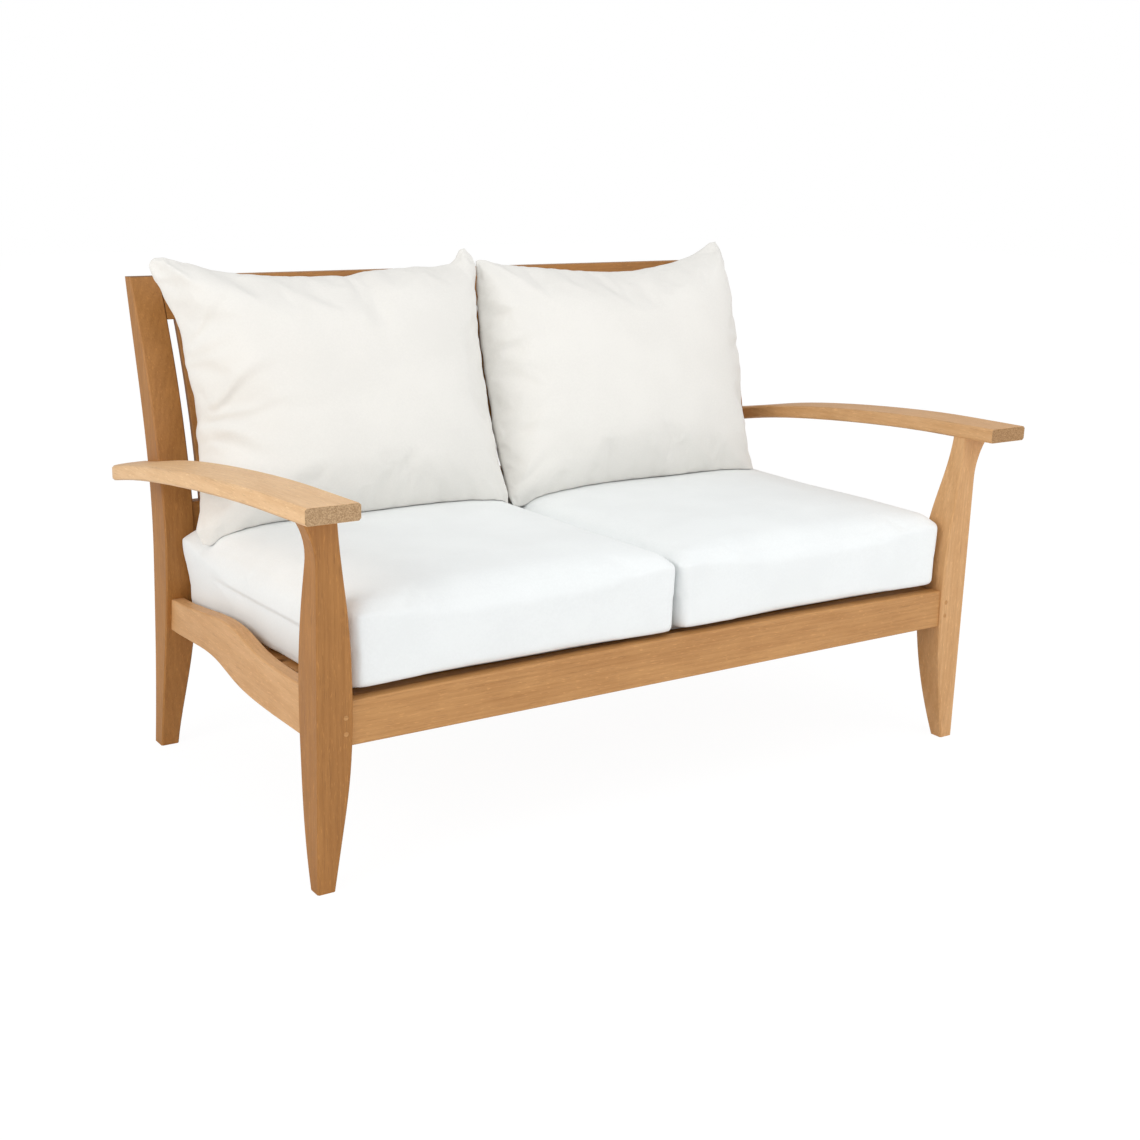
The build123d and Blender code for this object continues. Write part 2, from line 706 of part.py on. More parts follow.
# Pegs through the tenons
pegs = []
hole_diameter = peg_diameter + hole_clearance
peg_middle = front_rail_bottom + front_rail_height / 2
for height in (peg_middle - front_peg_spacing / 2, peg_middle + front_peg_spacing / 2):
    start = (leg_inner_x + peg_inset, front_y, height)
    pegs.append(riven_bar(*start, (0, 1, 0), peg_length, peg_diameter))
    hole = riven_bar(*start, (0, 1, 0), peg_length, hole_diameter)
    leg -= hole
    front_rail_piece = front_rail_piece - hole - other_side(hole)
for top, tall in (
    (rear_rail_top, rear_rail_height),
    (lower_rail_top, lower_rail_height),
    (crest_height, crest_rail_height),
):
    for step in (-rear_peg_spacing / 2, rear_peg_spacing / 2):
        height = top - tall / 2 + step
        pegs.append(rear_peg(height, peg_diameter))
        hole = rear_peg(height, hole_diameter)
        post -= hole
        rear_rail = rear_rail - hole - other_side(hole)
        lower_rail = lower_rail - hole - other_side(hole)
        crest_rail = crest_rail - hole - other_side(hole)

# Dowels that hold the arm
dowels = []
dowel_hole = dowel_diameter + hole_clearance
leg_dowel_y = front_y + leg_dowel_depth
for step in (0, leg_dowel_spacing):
    start = (leg_outer_x - leg_dowel_inset + step, leg_dowel_y, leg_dowel_bottom)
    dowels.append(riven_bar(*start, (0, 0, 1), leg_dowel_length, dowel_diameter))
    hole = riven_bar(*start, (0, 0, 1), leg_dowel_length, dowel_hole)
    leg -= hole
    arm_board -= hole
for step, drop in ((0, 0), (post_dowel_spacing, post_dowel_drop)):
    post_dowel_y = post_line_y + post_dowel_setback + step
    start = (post_outer_x - post_dowel_length / 2, post_dowel_y, post_dowel_height - drop)
    dowels.append(riven_bar(*start, (1, 0, 0), post_dowel_length, dowel_diameter))
    hole = riven_bar(*start, (1, 0, 0), post_dowel_length, dowel_hole)
    post -= hole
    arm_board -= hole

# Centre bearer, stub-tenoned into the front and rear rails
bearer_tenons = (bearer_width / 2 - bearer_shoulder, bearer_tenon, bearer_height - bearer_shoulder)
centre_bearer = bearer_part(bearer_width / 2, 0, bearer_height) + bearer_part(*bearer_tenons)
bearer_mortise = bearer_part(*bearer_tenons, growth=fit)
front_rail_piece -= bearer_mortise
rear_rail -= bearer_mortise

pieces["front_rail"] = front_rail_piece
pieces["rear_rail"] = rear_rail
pieces["crest_rail"] = crest_rail
pieces["lower_back_rail"] = lower_rail
pieces["centre_bearer"] = centre_bearer
pieces["joint_pegs"] = pair(*pegs)
pieces["arm_dowels"] = pair(*dowels)
for index in range(seat_slat_count):
    pieces[f"seat_slat_{index + 1:02d}"] = seat_slat(index)

# Pieces with a twin at the other end
outer = seat_cushion(0, seat_cover_shares)
inner = seat_cushion(cover_thickness, seat_core_shares)
zip_middle = (seat_cushion_gap / 2 + seat_cushion_half_width) / 2
zip_from = seat_cushion_front + seat_cushion_depth - overrun
seat_cover, seat_zip = zipped_cover(outer, inner, zip_middle, zip_from, seat_zip_level)
twins = {
    "front_leg": leg,
    "back_post": post,
    "arm": arm_board,
    "side_rail": side_rail_piece,
    "seat_cleat": cleat(),
    "front_corner_block": front_corner_block(),
    "rear_corner_block": rear_corner_block(),
    "seat_cover": seat_cover,
    "seat_foam": seat_cushion(cover_thickness + soft_clearance, seat_core_shares),
    "seat_zip": seat_zip,
}
for name, piece in twins.items():
    pieces[f"{name}_right"] = piece
    pieces[f"{name}_left"] = other_side(piece)

# Back cushions, which lie at their own places
for side, x_middle in (("left", back_cushion_left), ("right", back_cushion_right)):
    outer = back_cushion(x_middle, 0, back_cushion_shares)
    inner = back_cushion(x_middle, cover_thickness, back_core_shares)
    zip_from = back_cushion_lean - back_cushion_half_thickness * back_zip_share
    back_cover, back_zip = zipped_cover(outer, inner, x_middle, zip_from, back_zip_level)
    pieces[f"back_cover_{side}"] = back_cover
    pieces[f"back_zip_{side}"] = back_zip
    pieces[f"back_fill_{side}"] = back_cushion(x_middle, cover_thickness + soft_clearance, back_core_shares)

os.makedirs("parts", exist_ok=True)
for name, piece in pieces.items():
    export_step(piece, f"parts/{name}.step")
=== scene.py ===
"""Teak patio loveseat: the visual model dressed over its CAD nodes, in metres, +Z up, front towards -Y."""
import json
import math
import bmesh
import bpy
import mathutils.bvhtree
from mathutils import Matrix, Vector, noise

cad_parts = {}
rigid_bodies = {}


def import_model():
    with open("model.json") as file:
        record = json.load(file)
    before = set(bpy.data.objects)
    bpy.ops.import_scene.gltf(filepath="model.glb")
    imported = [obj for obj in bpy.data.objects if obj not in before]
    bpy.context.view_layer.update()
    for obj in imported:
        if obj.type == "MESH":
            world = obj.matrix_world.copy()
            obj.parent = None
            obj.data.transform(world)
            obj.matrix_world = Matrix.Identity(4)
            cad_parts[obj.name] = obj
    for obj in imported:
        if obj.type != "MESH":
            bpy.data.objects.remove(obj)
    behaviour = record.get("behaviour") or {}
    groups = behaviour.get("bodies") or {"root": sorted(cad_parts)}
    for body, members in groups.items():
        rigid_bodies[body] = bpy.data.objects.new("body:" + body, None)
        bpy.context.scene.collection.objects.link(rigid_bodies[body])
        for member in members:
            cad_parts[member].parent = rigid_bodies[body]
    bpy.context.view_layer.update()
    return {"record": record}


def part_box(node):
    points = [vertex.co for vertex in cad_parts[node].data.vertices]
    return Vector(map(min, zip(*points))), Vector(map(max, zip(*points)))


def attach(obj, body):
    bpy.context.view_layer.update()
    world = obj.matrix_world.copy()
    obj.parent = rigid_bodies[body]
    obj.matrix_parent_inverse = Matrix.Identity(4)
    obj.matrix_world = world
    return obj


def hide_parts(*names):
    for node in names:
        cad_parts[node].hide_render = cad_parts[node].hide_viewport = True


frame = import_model()
scene = bpy.context.scene
scene.view_settings.view_transform = "Standard"

# Camera
# The photographer's place and lens, solved from the frame's straight edges in the photograph.
# The shift frames the loveseat where it stands in the picture.
camera_place = Vector((-1.6440, -2.3894, 1.1245))
camera_yaw, camera_pitch, camera_roll = (math.radians(angle) for angle in (33.074, -15.857, 1.239))
photo_width = 1140
focal_length = 1603.816  # in pixels of the photo
film_width = 36
centre_shift_x = 0.0404
centre_shift_y = 0.0161
ahead = Vector((math.sin(camera_yaw) * math.cos(camera_pitch),
                math.cos(camera_yaw) * math.cos(camera_pitch),
                math.sin(camera_pitch)))
level_right = Vector((math.cos(camera_yaw), -math.sin(camera_yaw), 0))
level_up = level_right.cross(ahead)
right = math.cos(camera_roll) * level_right + math.sin(camera_roll) * level_up
up = math.cos(camera_roll) * level_up - math.sin(camera_roll) * level_right
camera_data = bpy.data.cameras.new("camera")
camera_data.sensor_width = film_width
camera_data.lens = film_width * focal_length / photo_width
camera_data.shift_x = centre_shift_x
camera_data.shift_y = centre_shift_y
camera = bpy.data.objects.new("camera", camera_data)
camera_turn = Matrix((right, up, -ahead)).transposed().to_4x4()
camera.matrix_world = Matrix.Translation(camera_place) @ camera_turn
scene.collection.objects.link(camera)
scene.camera = camera


# Floor and daylight
# A plain pale floor that the camera sees as white, and that keeps the loveseat's own soft shadow.
# White sky from all round, with three large soft lamps: one from the left, one from the front, one above.
class Wire:
    """An output socket that arithmetic can be written with."""

    def __init__(self, nodes, socket):
        self.nodes = nodes
        self.socket = socket

    def math(self, operation, *values):
        return self.nodes.wire("Math", dict(enumerate(values)), operation=operation)

    def __add__(self, other):
        return self.math("ADD", self, other)

    def __sub__(self, other):
        return self.math("SUBTRACT", self, other)

    def __rsub__(self, other):
        return self.math("SUBTRACT", other, self)

    def __mul__(self, other):
        return self.math("MULTIPLY", self, other)

    def __abs__(self):
        return self.math("ABSOLUTE", self)

    __radd__ = __add__
    __rmul__ = __mul__

    def ramp(self, low, high):
        """0 below low, 1 above high, eased between."""
        inputs = {"Value": self, "From Min": low, "From Max": high}
        return self.nodes.wire("MapRange", inputs, "Result", interpolation_type="SMOOTHSTEP")


class Nodes:
    """A node tree, and the one way to add nodes to it."""

    def __init__(self, tree):
        self.tree = tree

    def feed(self, target, value):
        """Set a socket to a value, or link a wire to it."""
        if isinstance(value, Wire):
            self.tree.links.new(value.socket, target)
        else:
            target.default_value = value

    def wire(self, kind, inputs, output=0, **settings):
        """An output of a new node, made with its settings and then its sockets' values or wires."""
        node = self.tree.nodes.new("ShaderNode" + kind)
        for key, value in settings.items():
            setattr(node, key, value)
        for key, value in inputs.items():
            self.feed(node.inputs[key], value)
        return Wire(self, node.outputs[output])


class Shader(Nodes):
    """A material and short ways to write it."""

    def __init__(self, name):
        self.material = bpy.data.materials.new(name)
        self.material.use_nodes = True
        super().__init__(self.material.node_tree)
        self.surface = self.tree.nodes["Principled BSDF"]
        self.place = self.wire("TexCoord", {}, "Object")
        self.facing = self.wire("TexCoord", {}, "Normal")

    def finish(self, **values):
        """Feed the surface's sockets, with underscores for the spaces in their names."""
        for key, value in values.items():
            self.feed(self.surface.inputs[key.replace("_", " ")], value)

    def moved(self, vector, location=(0, 0, 0), rotation=(0, 0, 0), scale=(1, 1, 1)):
        inputs = {"Vector": vector, "Location": location, "Rotation": rotation, "Scale": scale}
        return self.wire("Mapping", inputs)

    def noise(self, vector, scale, detail=2.0, distortion=0.0):
        inputs = {"Vector": vector, "Scale": scale, "Detail": detail, "Distortion": distortion}
        return self.wire("TexNoise", inputs)

    def mix(self, share, low, high):
        return self.wire("Mix", {0: share, 6: low, 7: high}, 2, data_type="RGBA")

    def bump(self, height, strength, distance):
        return self.wire("Bump", {"Height": height, "Strength": strength, "Distance": distance})


floor_size = 12.0
floor_white = (0.93, 0.93, 0.93, 1.0)
white = (1.0, 1.0, 1.0, 1.0)
floor_glow_share = 0.9
floor_glow_strength = 1.05
floor_corners = [(x * floor_size, y * floor_size, 0) for x, y in ((-1, -1), (1, -1), (1, 1), (-1, 1))]
floor_mesh = bpy.data.meshes.new("floor")
floor_mesh.from_pydata(floor_corners, [], [(0, 1, 2, 3)])
floor = bpy.data.objects.new("floor", floor_mesh)
scene.collection.objects.link(floor)
pale = Shader("floor_pale")
pale.finish(Base_Color=floor_white, Roughness=1.0, Specular_IOR_Level=0.0)
glow = pale.wire("Emission", {"Color": white, "Strength": floor_glow_strength})
glow_share = pale.wire("LightPath", {}, "Is Camera Ray") * floor_glow_share
plain = Wire(pale, pale.surface.outputs[0])
shown = pale.wire("MixShader", {0: glow_share, 1: plain, 2: glow})
pale.feed(pale.tree.nodes["Material Output"].inputs["Surface"], shown)
floor_mesh.materials.append(pale.material)

world = bpy.data.worlds.new("daylight")
world.use_nodes = True
scene.world = world
sky_strength = 0.64
air = Nodes(world.node_tree)
sky = air.tree.nodes["Background"]
air.feed(sky.inputs["Color"], white)
air.feed(sky.inputs["Strength"], sky_strength)
seen = air.wire("LightPath", {}, "Is Camera Ray")
backdrop = air.wire("Background", {"Color": white})
chosen = air.wire("MixShader", {0: seen, 1: Wire(air, sky.outputs[0]), 2: backdrop})
air.feed(air.tree.nodes["World Output"].inputs["Surface"], chosen)

lamp_target = Vector((0, 0, 0.45))
lamps = {
    "key": dict(place=(-3.4, -0.9, 1.9), size=2.2, power=43, colour=(1.0, 0.99, 0.975)),
    "fill": dict(place=(1.7, -3.2, 1.45), size=3.2, power=37.5, colour=(0.985, 0.99, 1.0)),
    "top": dict(place=(0.1, -0.9, 3.1), size=2.6, power=17, colour=(0.98, 0.99, 1.0)),
}
for name, lamp in lamps.items():
    light = bpy.data.lights.new(name, "AREA")
    light.shape = "DISK"
    light.size = lamp["size"]
    light.energy = lamp["power"]
    light.color = lamp["colour"]
    source = bpy.data.objects.new(name, light)
    source.location = lamp["place"]
    aim = lamp_target - Vector(lamp["place"])
    source.rotation_euler = aim.to_track_quat("-Z", "Y").to_euler()
    scene.collection.objects.link(source)


# Arms
# Bowed teak boards, notched round the back posts and dowelled to legs and posts, with well rounded arrises.
# Teak shows growth bands, long fibres, short dark pores and speckled end grain.
# Its grain runs along each stick, and every stick is cut from another place in the log.
def linear(red, green, blue):
    """A colour given in 0-255 display values, as the shader's linear colour."""
    channels = [value / 255 for value in (red, green, blue)]
    return tuple(c / 12.92 if c <= 0.04045 else ((c + 0.055) / 1.055) ** 2.4 for c in channels) + (1.0,)


def scaled(colour, factor):
    """A linear colour made darker or lighter."""
    return tuple(min(channel * factor, 1) for channel in colour[:3]) + (1.0,)


grain_turns = {"x": (0, math.radians(90), 0), "y": (math.radians(90), 0, 0), "z": (0, 0, 0)}
# Each noise's scale across, across and along the grain, its detail, and its weight in the wood's tone.
grain_noises = {
    "fibre": ((150, 150, 4), 4, 0.26),
    "drift": ((7, 7, 1.6), 2, 0.5),
    "patch": ((40, 40, 13), 3, 0.35),
    "fine": ((620, 620, 14), 2, 0.25),
    "pores": ((900, 900, 32), 1, 0),
    "flecks": ((420, 420, 70), 2, 0),
}
ring_stretch = (1.0, 1.0, 0.05)
ring_wave = {"Scale": 34.0, "Distortion": 9.0, "Detail": 3.0, "Detail Scale": 1.3, "Detail Roughness": 0.6}
ring_weight = 0.09
tone_span = (0.34, 1.12)
pore_span = (0.62, 0.72)
fleck_span = (0.58, 0.72)
speck_scale = 560.0
speck_span = (0.3, 0.72)
end_facing_span = (0.75, 0.95)
end_dark, end_light = 0.52, 0.68
pore_share, pore_shade = 0.3, 0.45
fleck_share, fleck_shade = 0.35, 1.3
teak_roughness, fibre_roughness, end_roughness = 0.4, 0.22, 0.2
teak_gloss = 0.4
fibre_relief, fine_relief, pore_relief = 0.5, 0.35, 0.6
teak_relief_strength, teak_relief_depth = 0.22, 0.0006


def teak(name, grain, tint, place):
    """Teak whose grain runs along one axis, cut from its own place in the log."""
    light, dark = tint
    wood = Shader(name)
    along = wood.moved(wood.place, location=place, rotation=grain_turns[grain])
    facing = wood.moved(wood.facing, rotation=grain_turns[grain])
    end = abs(wood.wire("SeparateXYZ", {"Vector": facing}, "Z")).ramp(*end_facing_span)
    rings = wood.wire("TexWave", {"Vector": wood.moved(along, scale=ring_stretch), **ring_wave}, "Fac",
                      wave_type="RINGS", rings_direction="Z")
    tone = rings * ring_weight
    grain_layers = {}
    for layer, (scale, detail, weight) in grain_noises.items():
        grain_layers[layer] = wood.noise(wood.moved(along, scale=scale), 1.0, detail=detail)
        if weight:
            tone += grain_layers[layer] * weight
    fibre, fine = grain_layers["fibre"], grain_layers["fine"]
    pores = grain_layers["pores"].ramp(*pore_span)
    flecks = grain_layers["flecks"].ramp(*fleck_span)
    colour = wood.mix(tone.ramp(*tone_span), dark, light)
    colour = wood.mix(pores * pore_share, colour, scaled(dark, pore_shade))
    colour = wood.mix(flecks * fleck_share, colour, scaled(light, fleck_shade))
    speck = wood.noise(along, speck_scale, detail=3).ramp(*speck_span)
    end_colour = wood.mix(speck, scaled(dark, end_dark), scaled(light, end_light))
    relief = fibre * fibre_relief + fine * fine_relief - pores * pore_relief
    wood.finish(
        Base_Color=wood.mix(end, colour, end_colour),
        Roughness=teak_roughness + fibre * fibre_roughness + end * end_roughness,
        Specular_IOR_Level=teak_gloss,
        Normal=wood.bump(relief, teak_relief_strength, teak_relief_depth))
    return wood.material


# The left arm's pale teak is partly its own tone and partly painted light: lighter to stand in for the light
# that falls on its top.
pale_painted_light_teak = (linear(236, 198, 153), linear(208, 164, 115))
light_teak = (linear(218, 172, 122), linear(188, 138, 84))
slots = {row["node"]: row["material_slot"] for row in frame["record"]["subparts"]}
arm_arris, usual_arris = 0.0045, 0.0012
fine_segments, usual_segments = 4, 3
weld_distance = 0.00002
flat_angle, arris_angle, sharp_angle = (math.radians(angle) for angle in (0.4, 28, 40))
# Where a ray that looks for open air beside an edge starts, and how far it looks.
below_edge, off_edge, notch_reach = 0.002, 0.0005, 0.2
log_start = (0.07, 0.05, 0)
log_step = (0.031, 0.017, 0.43)
dressed = []


def open_arrises(mesh):
    """Weigh the edges that have open air beside them, so that holes and notches stay crisp."""
    form = bmesh.new()
    form.from_mesh(mesh)
    weight = form.edges.layers.float.new("bevel_weight_edge")
    tree = mathutils.bvhtree.BVHTree.FromBMesh(form)
    for edge in form.edges:
        if len(edge.link_faces) == 2 and edge.is_convex and edge.calc_face_angle() > arris_angle:
            middle = (edge.verts[0].co + edge.verts[1].co) / 2
            flat, wall = sorted(edge.link_faces, key=lambda face: -abs(face.normal.z))
            start = middle - flat.normal * below_edge + wall.normal * off_edge
            edge[weight] = 0.0 if tree.ray_cast(start, wall.normal, notch_reach)[0] else 1.0
    form.to_mesh(mesh)
    form.free()


def baked(piece):
    """The piece's mesh as its modifiers make it, with the modifiers taken off the piece."""
    mesh = bpy.data.meshes.new_from_object(piece.evaluated_get(bpy.context.evaluated_depsgraph_get()))
    piece.modifiers.clear()
    return mesh


def eased(node, width, segments, open_air):
    """A copy of a CAD stick with its arrises rounded over and its curved faces smooth."""
    stick = bpy.data.objects.new("teak_" + node, bpy.data.objects[node].data.copy())
    scene.collection.objects.link(stick)
    weld = stick.modifiers.new("weld", "WELD")
    weld.merge_threshold = weld_distance
    flats = stick.modifiers.new("flats", "DECIMATE")
    flats.decimate_type = "DISSOLVE"
    flats.angle_limit = flat_angle
    if open_air:
        mesh = baked(stick)
        open_arrises(mesh)
        stick.data = mesh
    arris = stick.modifiers.new("arris", "BEVEL")
    arris.width = width
    arris.segments = segments
    arris.limit_method = "WEIGHT" if open_air else "ANGLE"
    arris.angle_limit = arris_angle
    mesh = baked(stick)
    mesh.shade_smooth()
    mesh.set_sharp_from_angle(angle=sharp_angle)
    stick.data = mesh
    facing = stick.modifiers.new("facing", "WEIGHTED_NORMAL")
    facing.keep_sharp = True
    stick.data = baked(stick)
    return stick


def dress(node, grain, tint, width=usual_arris, segments=usual_segments, open_air=False):
    """Replace a CAD stick by its eased copy in teak."""
    stick = eased(node, width, segments, open_air)
    stick.data.materials.clear()
    place = [start + step * len(dressed) for start, step in zip(log_start, log_step)]
    stick.data.materials.append(teak("teak_" + node, grain, tint, place))
    dressed.append(node)
    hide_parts(node)
    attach(stick, "frame")


# The left arm's paler teak is partly painted light on its top.
dress("arm_left", "y", pale_painted_light_teak, arm_arris, fine_segments, open_air=True)
dress("arm_right", "y", light_teak, arm_arris, fine_segments, open_air=True)

# Front legs
# Leaf-shaped teak legs, sawn in two directions and flared below the seat, dowelled into the arms.
# The left one is given browner teak than the right one, as in the photograph.
brown_teak = (linear(182, 127, 66), linear(146, 95, 40))
dress("front_leg_left", "z", brown_teak)
dress("front_leg_right", "z", light_teak)

# Back posts
# One curved teak stick on each side, from the floor to the crest, which carries all the rear rails.
# Both are sawn in two directions, like the legs.
dress("back_post_left", "z", brown_teak)
dress("back_post_right", "z", brown_teak)

# Rails
# Straight teak rails across the front and the back, tenoned into legs and posts and pegged.
# The side rails are shaped boards that dip towards the front, scribed and tenoned to leg and post.
mid_teak = (linear(200, 149, 92), linear(164, 112, 58))
dress("front_rail", "x", mid_teak)
dress("side_rail_left", "y", light_teak)
dress("side_rail_right", "y", mid_teak)
dress("rear_rail", "x", mid_teak)
# The crest rail takes the brown teak partly as painted shade: darker for its front face, which lies in
# shade.
dress("crest_rail", "x", brown_teak)
dress("lower_back_rail", "x", brown_teak)

# Seat supports
# A teak bearer under the middle of the slats, tenoned into the rails, and a rebated cleat along each side.
# A block is glued into each corner of the seat frame.
dress("centre_bearer", "y", mid_teak)
for side in ("left", "right"):
    dress("seat_cleat_" + side, "y", mid_teak)
for end in ("front", "rear"):
    for side in ("left", "right"):
        dress(f"{end}_corner_block_{side}", "x", mid_teak)

# Back slats
# Fifteen thin teak slats, bent to the sweep of the posts and tenoned into the two back rails.
# They come from several boards, so their tints differ a little.
honey_teak = (linear(206, 156, 101), linear(171, 120, 66))
amber_teak = (linear(194, 141, 83), linear(158, 106, 51))
slat_tints = (mid_teak, honey_teak, amber_teak, mid_teak, mid_teak)
back_slats = [node for node in slots if node.startswith("back_slat_")]
for index, node in enumerate(sorted(back_slats)):
    dress(node, "z", slat_tints[index % len(slat_tints)])

# Seat slats
# Eight flat teak slats across the seat frame, let into the cleats, under the cushions.
# Their tints follow one another as in the back, but start two boards further on.
seat_tint_shift = 2
seat_slats = [node for node in slots if node.startswith("seat_slat_")]
for index, node in enumerate(sorted(seat_slats)):
    dress(node, "x", slat_tints[(index + seat_tint_shift) % len(slat_tints)])

# Pegs and dowels
# Riven teak pegs through the tenons of the front and back rails, cut flush with the wood.
# Riven dowels hold the arms to the legs and the posts. Each kind is one group of separate pins.
pin_arris = 0.0004
dress("joint_pegs", "x", mid_teak, pin_arris)
dress("arm_dowels", "z", mid_teak, pin_arris, fine_segments)


# Seat cushions
# Boxed foam blocks in sewn off-white covers, with crowned tops and a seam round the top and the bottom.
# One block is settled as cloth, and its twin is the mirror image with its own slight unevenness.
mottle_scale, slub_scale, crease_scale = 9.0, 260.0, 26.0
mottle_share, slub_share = 0.6, 0.4
mottle_span = (0.35, 0.65)
mottle_shade = 0.965
cloth_roughness, cloth_gloss, cloth_sheen = 0.92, 0.25, 0.15
crease_relief, slub_relief = 0.8, 0.12
cloth_relief_strength, cloth_relief_depth = 0.18, 0.004


def canvas(name, colour):
    """Woven off-white cloth: matt, faintly mottled and slightly slubbed."""
    cloth = Shader(name)
    mottle = cloth.noise(cloth.place, mottle_scale, detail=3)
    slub = cloth.noise(cloth.place, slub_scale, detail=2)
    uneven = (mottle * mottle_share + slub * slub_share).ramp(*mottle_span)
    crease = cloth.noise(cloth.place, crease_scale, detail=4, distortion=0.6)
    relief = crease * crease_relief + slub * slub_relief
    cloth.finish(
        Base_Color=cloth.mix(uneven, scaled(colour, mottle_shade), colour),
        Roughness=cloth_roughness,
        Specular_IOR_Level=cloth_gloss,
        Sheen_Weight=cloth_sheen,
        Normal=cloth.bump(relief, cloth_relief_strength, cloth_relief_depth))
    return cloth.material


pad_canvas = canvas("canvas_pads", linear(238, 241, 241))


def finished(piece, mesh, cover):
    """Give a piece its settled mesh, subdivided and smooth, and its cloth."""
    piece.data = mesh
    finer = piece.modifiers.new("finer", "SUBSURF")
    finer.levels = finer.render_levels = 1
    piece.data = baked(piece)
    piece.data.polygons.foreach_set("use_smooth", [True] * len(piece.data.polygons))
    piece.data.materials.clear()
    piece.data.materials.append(cover)


cloth_quality = 5
cloth_mass = 0.25
cloth_damping = 12
air_damping = 2.0
shear_share = 0.4
cap_power = 3


def blown(piece, frames, pressure, shrink, cap, tension, bending, pins=()):
    """Let a closed cloth skin swell with pressure, each point's move easing off towards the cap."""
    before = [vertex.co.copy() for vertex in piece.data.vertices]
    cloth = piece.modifiers.new("settle", "CLOTH")
    cloth.settings.quality = cloth_quality
    cloth.settings.mass = cloth_mass
    cloth.settings.tension_stiffness = tension
    cloth.settings.compression_stiffness = tension
    cloth.settings.shear_stiffness = tension * shear_share
    cloth.settings.bending_stiffness = bending
    cloth.settings.tension_damping = cloth_damping
    cloth.settings.compression_damping = cloth_damping
    cloth.settings.air_damping = air_damping
    cloth.settings.use_pressure = True
    cloth.settings.uniform_pressure_force = pressure
    cloth.settings.shrink_min = shrink
    cloth.settings.effector_weights.gravity = 0
    cloth.collision_settings.use_collision = False
    cloth.point_cache.frame_start = 1
    cloth.point_cache.frame_end = frames
    if pins:
        group = piece.vertex_groups.new(name="held")
        group.add(pins, 1.0, "REPLACE")
        cloth.settings.vertex_group_mass = "held"
    for moment in range(1, frames + 1):
        scene.frame_set(moment)
    settled = baked(piece)
    piece.vertex_groups.clear()
    scene.frame_set(1)
    for vertex, place in zip(settled.vertices, before):
        step = vertex.co - place
        if step.length > 0:
            eased_length = cap * (1 - math.exp(-(step.length / cap) ** cap_power)) ** (1 / cap_power)
            vertex.co = place + step * (eased_length / step.length)
    return settled


# The block's mesh, how far it stays inside its cover's box, and how far its faces may sink.
pad_voxel = 0.006
pad_softening = 3
pad_inset = 0.001
pad_give = 0.0015
pad_middle = 0.3
# The seams' heights above a line that follows the slope of the seat.
seat_slope = math.radians(1.23)
seam_base = 0.013
seam_levels = (0.012, 0.136)
seam_depth = 0.0009
seam_reach = 0.0028
uneven_height, uneven_scale, uneven_shift = 0.0022, 5.5, 3.1
# Over the front rail the pad stands clear of the wood, with its lower edge tucked back by a quarter round.
rail_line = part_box("front_rail")[1].z + 0.0085
rail_overlap = 0.045
tuck = 0.0045
# Its side draws in from its full width down to the side rail's inner face.
side_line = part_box("side_rail_right")[0].x - 0.0045
side_low, side_high = 0.320, 0.425
core = bpy.data.objects["seat_foam_right"]
core_low, core_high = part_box("seat_foam_right")
cover_low, cover_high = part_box("seat_cover_right")
grow = [(cover_high[k] - cover_low[k] - 2 * pad_inset) / (core_high[k] - core_low[k]) for k in range(3)]
to_cover = Matrix.Translation((cover_low + cover_high) / 2)
from_core = Matrix.Translation(-(core_low + core_high) / 2)
fit = to_cover @ Matrix.Diagonal(grow + [1]) @ from_core
pad = bpy.data.objects.new("seat_pad", core.data.copy())
pad.data.transform(fit)
scene.collection.objects.link(pad)
remesh = pad.modifiers.new("remesh", "REMESH")
remesh.mode = "VOXEL"
remesh.voxel_size = pad_voxel
soften = pad.modifiers.new("soften", "SMOOTH")
soften.iterations = pad_softening
soften.factor = 0.5
even = baked(pad)
pad.data = even
before = [(vertex.co.copy(), vertex.normal.copy()) for vertex in even.vertices]
even = blown(pad, frames=10, pressure=2.6, shrink=-0.008, cap=0.008, tension=15, bending=2.0)
for vertex, (place, normal) in zip(even.vertices, before):
    sunk = (place - vertex.co).dot(normal) - pad_give
    if sunk > 0:
        vertex.co += normal * sunk
    if vertex.co.y < cover_low.y + rail_overlap:
        vertex.co.z = max(vertex.co.z, rail_line)
        edge = min(max((vertex.co.z - rail_line) / tuck, 0), 1)
        vertex.co.y += tuck * (1 - math.sqrt(1 - (1 - edge) ** 2))
    if vertex.co.x > side_line:
        share = min(max((vertex.co.z - side_low) / (side_high - side_low), 0), 1)
        reach = (cover_high.x - side_line) * share ** 2 * (3 - 2 * share)
        vertex.co.x = min(vertex.co.x, side_line + reach)
    vertex.co.x = min(max(vertex.co.x, cover_low.x + pad_inset), cover_high.x - pad_inset)
    vertex.co.y = min(max(vertex.co.y, cover_low.y + pad_inset), cover_high.y - pad_inset)
    if place.z < (cover_low.z + cover_high.z) / 2:
        vertex.co.z = max(vertex.co.z, place.z)
        inward = max if place.x < pad_middle else min
        vertex.co.x = inward(vertex.co.x, place.x)
finished(pad, even, pad_canvas)
settled_pad = pad.data
bpy.data.objects.remove(pad)
for side, sign in (("left", -1), ("right", 1)):
    mesh = settled_pad.copy()
    normals = [vertex.normal.copy() for vertex in mesh.vertices]
    for vertex, normal in zip(mesh.vertices, normals):
        level = vertex.co.z - cover_low.z + (vertex.co.y - cover_low.y) * math.tan(seat_slope) - seam_base
        groove = sum(math.exp(-((level - seam) / seam_reach) ** 2) for seam in seam_levels)
        spot = vertex.co * uneven_scale + Vector((sign * uneven_shift, 0, 0))
        uneven = noise.noise(spot) * uneven_height
        upright = 1 - abs(normal.z)
        vertex.co += normal * (uneven - seam_depth * groove * upright)
    if sign < 0:
        mesh.transform(Matrix.Diagonal((-1, 1, 1, 1)))
        mesh.flip_normals()
    pad = bpy.data.objects.new("seat_cushion_" + side, mesh)
    scene.collection.objects.link(pad)
    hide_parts("seat_cover_" + side, "seat_foam_" + side)
    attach(pad, "seat_cushion_" + side)

